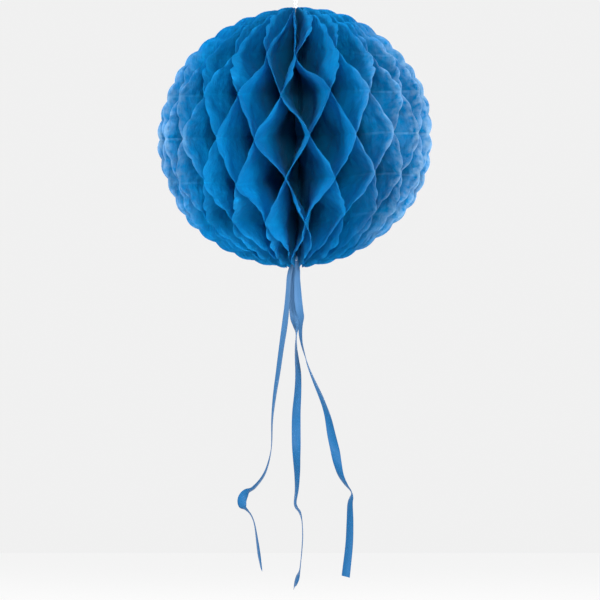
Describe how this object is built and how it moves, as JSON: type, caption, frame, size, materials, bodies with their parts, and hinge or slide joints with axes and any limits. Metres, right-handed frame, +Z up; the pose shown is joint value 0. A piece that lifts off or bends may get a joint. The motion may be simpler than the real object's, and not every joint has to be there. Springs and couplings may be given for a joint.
{
  "type": "honeycomb paper ball",
  "caption": "Hanging honeycomb tissue paper ball with scalloped diamond cells, a thread loop on top and satin ribbon tails below.",
  "frame": {"origin": "underside of the thread loop's top, where a hook bears, straight above the ball's middle", "axes": "+Z up along the thread, -Y towards the viewer, +X to the viewer's right"},
  "size_m": [0.2983, 0.2986, 0.6639],
  "materials": {
    "tissue_paper": "soft matte tissue",
    "satin_ribbon": "satin weave",
    "clear_thread": "clear nylon"
  },
  "bodies": {
    "root": {"hanging_thread": "clear_thread", "ribbon_knot": "satin_ribbon", "ribbon_left": "satin_ribbon", "ribbon_middle": "satin_ribbon", "ribbon_right": "satin_ribbon", "tissue_sheet_01": "tissue_paper", "tissue_sheet_02": "tissue_paper", "tissue_sheet_03": "tissue_paper", "tissue_sheet_04": "tissue_paper", "tissue_sheet_05": "tissue_paper", "tissue_sheet_06": "tissue_paper", "tissue_sheet_07": "tissue_paper", "tissue_sheet_08": "tissue_paper", "tissue_sheet_09": "tissue_paper", "tissue_sheet_10": "tissue_paper", "tissue_sheet_11": "tissue_paper", "tissue_sheet_12": "tissue_paper", "tissue_sheet_13": "tissue_paper", "tissue_sheet_14": "tissue_paper", "tissue_sheet_15": "tissue_paper", "tissue_sheet_16": "tissue_paper", "tissue_sheet_17": "tissue_paper", "tissue_sheet_18": "tissue_paper", "tissue_sheet_19": "tissue_paper", "tissue_sheet_20": "tissue_paper", "tissue_sheet_21": "tissue_paper", "tissue_sheet_22": "tissue_paper", "tissue_sheet_23": "tissue_paper", "tissue_sheet_24": "tissue_paper", "tissue_sheet_25": "tissue_paper", "tissue_sheet_26": "tissue_paper", "tissue_sheet_27": "tissue_paper", "tissue_sheet_28": "tissue_paper", "tissue_sheet_29": "tissue_paper", "tissue_sheet_30": "tissue_paper", "tissue_sheet_31": "tissue_paper", "tissue_sheet_32": "tissue_paper", "tissue_sheet_33": "tissue_paper", "tissue_sheet_34": "tissue_paper", "tissue_sheet_35": "tissue_paper", "tissue_sheet_36": "tissue_paper", "tissue_sheet_37": "tissue_paper", "tissue_sheet_38": "tissue_paper"}
  },
  "joints": []
}
